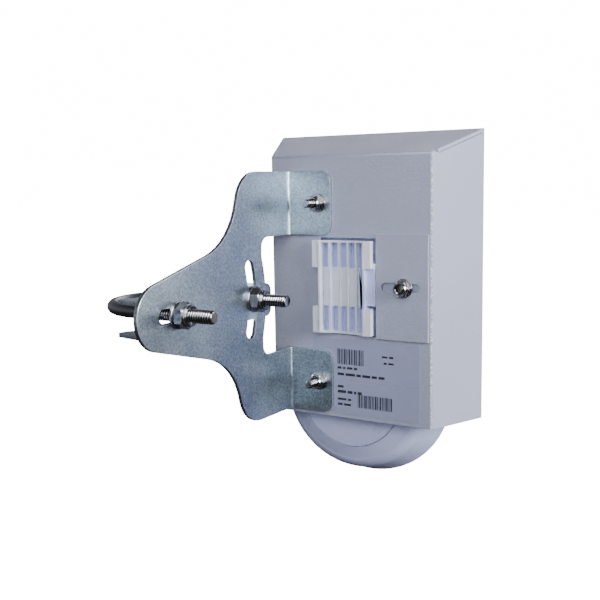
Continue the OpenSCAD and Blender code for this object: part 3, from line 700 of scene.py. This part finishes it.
def shield():
    """Folded sheet: rounded outside folds, eased rims and the open joint at both upper corners."""
    fold_r = 1.3
    rim_ease = 0.16
    joint_w = 0.35
    joint_out = 8
    joint_half = 9
    joint_stop = 3.4
    bm = cad_copy("shield_shell")

    def on_fold(edge):
        a, b = (v.co for v in edge.verts)
        if min(a.y, b.y) < rear_y - 0.01:
            return False
        upright = max(abs(abs(p.x - shield_x) - rear_half_w) for p in (a, b)) < 0.05
        top = max(abs(a.z - rear_top), abs(b.z - rear_top)) < 0.05
        return (upright and abs(a.x - b.x) < 0.01) or top

    ease(bm, [e for e in bm.edges if on_fold(e)], fold_r, segments=5)
    mark = bm.faces.layers.float["edge"]
    for face in bm.faces:
        face[mark] = 0
    ease(bm, sharp_edges(bm, 50), rim_ease)
    slope = math.atan2(top_rise, shield_d)
    for side in (-1, 1):
        middle = shield_x + side * (rear_half_w + joint_out)
        slit = block((middle - joint_half, -shield_d, -joint_w), (middle + joint_half, -joint_stop, 0))
        bmesh.ops.rotate(slit, cent=(0, 0, 0), verts=slit.verts, matrix=Matrix.Rotation(-slope, 3, "X"))
        bmesh.ops.translate(slit, vec=(0, rear_y, rear_top - sheet_t / math.cos(slope)), verts=slit.verts)
        bm = boolean(bm, slit, "DIFFERENCE")
    publish(bm, "shield_sheet", "head", FINISHES["coated_sheet"], "coated_sheet", "shield_shell", sharp=50)


def small_fasteners():
    """Studs through the rear panel with their washers and lock nuts."""
    hex_h, collar_h = 3, 1.5
    for kind in ("flange", "lock"):
        plural = "s" if kind == "flange" else ""
        low, high = corners(f"{kind}_stud{plural}")
        ring_low, ring_high = corners(f"{kind}_washer{plural}")
        nut_low, nut_high = corners(f"{kind}_nut{plural}")
        x = (low.x + high.x) / 2
        mid_z = (ring_low.z + ring_high.z) / 2
        outer_d = ring_high.x - ring_low.x
        half_gap = (ring_high.z - ring_low.z - outer_d) / 2
        heights = sorted({mid_z - half_gap, mid_z + half_gap} if half_gap > 1 else {mid_z})
        across = (nut_high.x - nut_low.x) * math.cos(math.pi / 6)
        thick = ring_high.y - ring_low.y
        studs, rings, nuts = [], [], []
        for z in heights:
            studs.append(stud(high.y, x, z, high.y - low.y - 0.5, stud_d))
            studs.append(stud_head(x, low.y + 1, z, high.x - low.x, 1))
            rings.append(stand(washer(outer_d, stud_d + 0.6, thick), (x, ring_low.y, z), (0, 1, 0)))
            nuts.append(stand(lock_nut(across, hex_h, collar_h, stud_d + 0.1), (x, nut_low.y, z), (0, 1, 0)))
        publish(join(*studs), f"{kind}_threads", "head", FINISHES["bright_zinc"], "bright_zinc",
                f"{kind}_stud{plural}", sharp=60)
        publish(join(*rings), f"{kind}_rings", "head", FINISHES["bright_zinc"], "bright_zinc",
                f"{kind}_washer{plural}")
        publish(join(*nuts), f"{kind}_hexagons", "head", FINISHES["bright_zinc"], "bright_zinc",
                f"{kind}_nut{plural}", sharp=28)


# ---------------------------------------------------------------- radio


def radio_section(inset, steps=18):
    """Half section of the housing, from the middle of its rear to the middle of its front."""
    turns = [math.pi / 2 * i / steps for i in range(steps + 1)]
    points = [(0, inset), (tongue_r - inset / 4, inset)]
    points += [(rim_r + (end_r - rim_r - inset) * math.sin(a),
                waist_d - (waist_d - rim_lift - inset) * math.cos(a)) for a in turns]
    points += [(nose_r + (front_r - nose_r - inset) * math.cos(a),
                nose_d + (radio_d - nose_drop - nose_d - inset) * math.sin(a)) for a in turns]
    crown = [nose_r * (1 - i / 6) for i in range(1, 7)]
    return points + [(r, radio_d - nose_drop * (r / nose_r) ** 2 - inset) for r in crown]


def capsule(section, steps=48):
    """Closed body: the section turned round both ends and drawn straight between them."""
    bm = bmesh.new()
    verts = [bm.verts.new((radio_x + r, radio_y - depth, low_c)) for r, depth in section]
    geom = verts + [bm.edges.new(pair) for pair in zip(verts, verts[1:])]
    for centre, rise in ((low_c, high_c - low_c), (high_c, low_c - high_c)):
        geom = bmesh.ops.spin(
            bm, geom=geom, cent=(radio_x, radio_y, centre), axis=(0, 1, 0), angle=math.pi,
            steps=steps, use_duplicate=False)["geom_last"]
        drawn = verts_of(bmesh.ops.extrude_edge_only(bm, edges=edges_of(geom))["geom"])
        bmesh.ops.translate(bm, vec=(0, 0, rise), verts=drawn)
        geom = drawn + edges_between(drawn)
    bmesh.ops.remove_doubles(bm, verts=bm.verts, dist=0.001)
    bmesh.ops.recalc_face_normals(bm, faces=bm.faces)
    return bm


def radio_skin():
    """Hollow housing before it is parted into its shells."""
    inner = capsule(radio_section(radio_wall))
    bmesh.ops.reverse_faces(inner, faces=inner.faces)
    return join(capsule(radio_section(0)), inner)


def front_shell():
    bm = boolean(radio_skin(), block((radio_x - beyond, radio_y - 40, cover_z),
                                     (radio_x + beyond, radio_y - seam_d, high_c + beyond)), "INTERSECT")
    ease(bm, sharp_edges(bm, 50), 0.22)
    publish(bm, "front_cover", "head", FINISHES["radio_white"], "radio_white", "radio_front_shell")


def port_cover():
    """Sliding lower end of the housing, cut out round the tongue and for the cable outlet."""
    bm = boolean(radio_skin(), block((radio_x - beyond, radio_y - 40, low_c - beyond),
                                     (radio_x + beyond, radio_y + 2, cover_z - tongue_gap)), "INTERSECT")
    column_r = tongue_r + tongue_gap
    column_h = 20
    column = bmesh.new()
    bmesh.ops.create_cone(column, cap_ends=True, segments=128, radius1=column_r, radius2=column_r,
                          depth=column_h)
    stand(column, (radio_x, radio_y - seam_d + column_h / 2, low_c), (0, 1, 0))
    bm = boolean(bm, column, "DIFFERENCE")
    bm = boolean(bm, block((radio_x - column_r, radio_y - seam_d, low_c),
                           (radio_x + column_r, radio_y + 2, cover_z + 1)), "DIFFERENCE")
    outlet = bmesh.new()
    bmesh.ops.create_cone(outlet, cap_ends=True, segments=64, radius1=outlet_r, radius2=outlet_r,
                          depth=16)
    bmesh.ops.translate(outlet, vec=(radio_x, radio_y - outlet_depth, low_c - front_r), verts=outlet.verts)
    bm = boolean(bm, outlet, "DIFFERENCE")
    ease(bm, sharp_edges(bm, 50), 0.2)
    publish(bm, "sliding_cover", "cover", FINISHES["radio_white"], "radio_white", "port_cover")


def mount():
    """Ribbed mount, with the slit beside its spring tab."""
    bm = cad_copy("rear_mount")
    slit = block((tab_x, rear_y - slit_depth, mount_z - tab_half_h),
                 (tab_x + slit_w, rear_y + 6, mount_z + tab_half_h))
    bm = boolean(bm, slit, "DIFFERENCE")
    ease(bm, sharp_edges(bm), 0.12)
    publish(bm, "ribbed_mount", "head", FINISHES["mount_white"], "mount_white", "rear_mount", sharp=45)


# ---------------------------------------------------------------- print on the labels


def ink_marks():
    """Plain bars and dashes in the places of the labels' print; they spell nothing."""
    ink_t = 0.03
    marks = {"upper_label": [], "lower_label": []}

    def mark(label, x, z, w, h):
        face = corners(label)[1].y
        marks[label].append(block((x - w, face - 0.01, z), (x, face + ink_t, z + h)))

    def bars(label, x, z, h, count):
        for i in range(count):
            w = 0.28 + 0.22 * ((i * 5) % 3)
            mark(label, x, z, w, h)
            x -= w + 0.34 + 0.2 * ((i * 7) % 2)

    def dashes(label, x, z, h, lengths):
        for length in lengths:
            mark(label, x, z, length, h)
            x -= length + 0.8

    up_high = corners("upper_label")[1]
    near = corners("bracket")[0].x - 2.0
    bars("upper_label", near, up_high.z - 12.5, 7.6, 16)
    dashes("upper_label", near, up_high.z - 14.8, 1.1, [2.2, 1.4, 3.0, 1.8])
    dashes("upper_label", near, up_high.z - 18.0, 1.2, [3.6, 5.2, 2.4, 4.2, 2.8, 3.2])
    dashes("upper_label", near - 24, up_high.z - 7.6, 0.9, [3.0, 2.2])
    dashes("upper_label", near - 25, up_high.z - 10.6, 0.9, [1.6, 2.8])
    low_high = corners("lower_label")[1]
    dashes("lower_label", near, low_high.z - 3.0, 1.1, [3.4])
    dashes("lower_label", near, low_high.z - 5.6, 1.3, [4.6, 2.8, 1.2, 2.2])
    dashes("lower_label", near, low_high.z - 9.2, 1.0, [4.8, 1.8])
    dashes("lower_label", near, low_high.z - 11.8, 1.1, [2.6, 3.8])
    bars("lower_label", near - 11, low_high.z - 12.0, 6.4, 20)
    for label, shapes in marks.items():
        publish(join(*shapes), f"{label}_marks", "head", FINISHES["label_ink"], "label_silver")


# ---------------------------------------------------------------- camera, light and floor


def studio():
    """Camera beside the pole behind the shield, soft lights, and a white room and floor."""
    forward = Vector((0.521947, -0.843069, -0.129637)).normalized()
    level = forward.cross(Vector((0, 0, 1))).normalized()
    upright = level.cross(forward)
    roll = math.radians(-0.945)
    lens = Vector((-262.249, 308.790, 52.678)) * MM
    right = level * math.cos(roll) + upright * math.sin(roll)
    up = upright * math.cos(roll) - level * math.sin(roll)
    camera = bpy.data.objects.new("camera", bpy.data.cameras.new("camera"))
    camera.data.sensor_width = 36
    camera.data.lens = 53.364
    camera.data.clip_start = 0.01
    turn = Matrix((right, up, -forward)).transposed().to_4x4()
    camera.matrix_world = Matrix.Translation(lens) @ turn
    bpy.context.scene.collection.objects.link(camera)
    bpy.context.scene.camera = camera

    target = Vector((-50, -60, 0)) * MM
    for name, place, size, power in (
            ("side light", (-1.15, 0.1, 0.3), 0.6, 22.0),
            ("front light", (-0.7, -0.85, 0.3), 0.7, 5.0),
            ("rear light", (-0.72, 0.95, 0.2), 0.5, 2.0),
            ("front fill", (0.3, -1.1, 0.3), 0.8, 5.0),
            ("near light", (-0.12, 0.13, 0.14), 0.12, 0.24)):
        lamp = bpy.data.objects.new(name, bpy.data.lights.new(name, "AREA"))
        lamp.data.size = size
        lamp.data.energy = power
        lamp.location = place
        lamp.visible_camera = False
        lamp.rotation_euler = (target - Vector(place)).to_track_quat("-Z", "Y").to_euler()
        bpy.context.scene.collection.objects.link(lamp)

    world = bpy.data.worlds.new("white room")
    bpy.context.scene.world = world
    world.use_nodes = True
    tree = world.node_tree
    tree.nodes.clear()
    seen = node(tree, "Background", {"Color": (1, 1, 1, 1), "Strength": BACKDROP})
    direction = node(tree, "SeparateXYZ", {0: node(tree, "TexCoord").outputs["Generated"]}).outputs
    horizon = ramped(tree, direction["Z"], -0.24, 0.02, 0.03, 0.4)
    overhead = ramped(tree, direction["Z"], 0.1, 0.6, 1.0, 0.2)
    room = node(tree, "Background", {"Color": (0.93, 0.95, 1.0, 1),
                                     "Strength": calc(tree, "MULTIPLY", horizon, overhead)})
    choice = node(tree, "MixShader", {0: node(tree, "LightPath").outputs["Is Camera Ray"],
                                      1: room.outputs[0], 2: seen.outputs[0]})
    tree.links.new(choice.outputs[0], node(tree, "OutputWorld").inputs["Surface"])

    floor_z = -0.3
    floor_half = 12
    floor = bmesh.new()
    bmesh.ops.create_grid(floor, x_segments=1, y_segments=1, size=floor_half,
                          matrix=Matrix.Translation((0, 0, floor_z)))
    mesh = bpy.data.meshes.new("floor")
    floor.to_mesh(mesh)
    floor.free()
    finish = new_finish("floor_white", Roughness=0.9, Base_Color=(0.97, 0.97, 0.97, 1),
                        Emission_Color=(1, 1, 1, 1), Emission_Strength=BACKDROP)[0]
    mesh.materials.append(finish)
    ground = bpy.data.objects.new("floor", mesh)
    bpy.context.scene.collection.objects.link(ground)
    ground.visible_diffuse = ground.visible_glossy = False


# ---------------------------------------------------------------- the whole object

studio()
u_bolt()
clamp_fasteners()
sheet_piece("clamp_saddle", "saddle_sheet", "clamp", "zinc_sheet", 0.2)
sheet_piece("bracket", "bracket_sheet", "head", "zinc_sheet", 0.28)
shield()
sheet_piece("lock_plate", "lock_sheet", "lock", "coated_sheet", 0.14)
small_fasteners()
mount()
sheet_piece("radio_rear_shell", "rear_cover", "head", "radio_white", 0.2)
front_shell()
port_cover()
for label in ("upper_label", "lower_label"):
    sheet_piece(label, f"{label}_film", "head", "label_silver", 0.04)
ink_marks()

INNER_FINISHES = {
    "main_board": "board_green", "antenna_board": "board_green", "board_screws": "bright_zinc",
    "board_chips": "chip_black", "shield_can": "tin_sheet", "reflector": "tin_sheet",
    "ethernet_jack": "jack_black", "reset_switch": "jack_black", "reset_button": "button_red",
    "status_leds": "led_body", "light_pipe": "clear_pipe", "reflector_posts": "nylon",
    "antenna_posts": "nylon", "antenna_patches": "copper_gold", "feed_pins": "copper_gold",
}
for inner, slot in INNER_FINISHES.items():
    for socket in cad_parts[inner].material_slots:
        socket.material = FINISHES[slot]
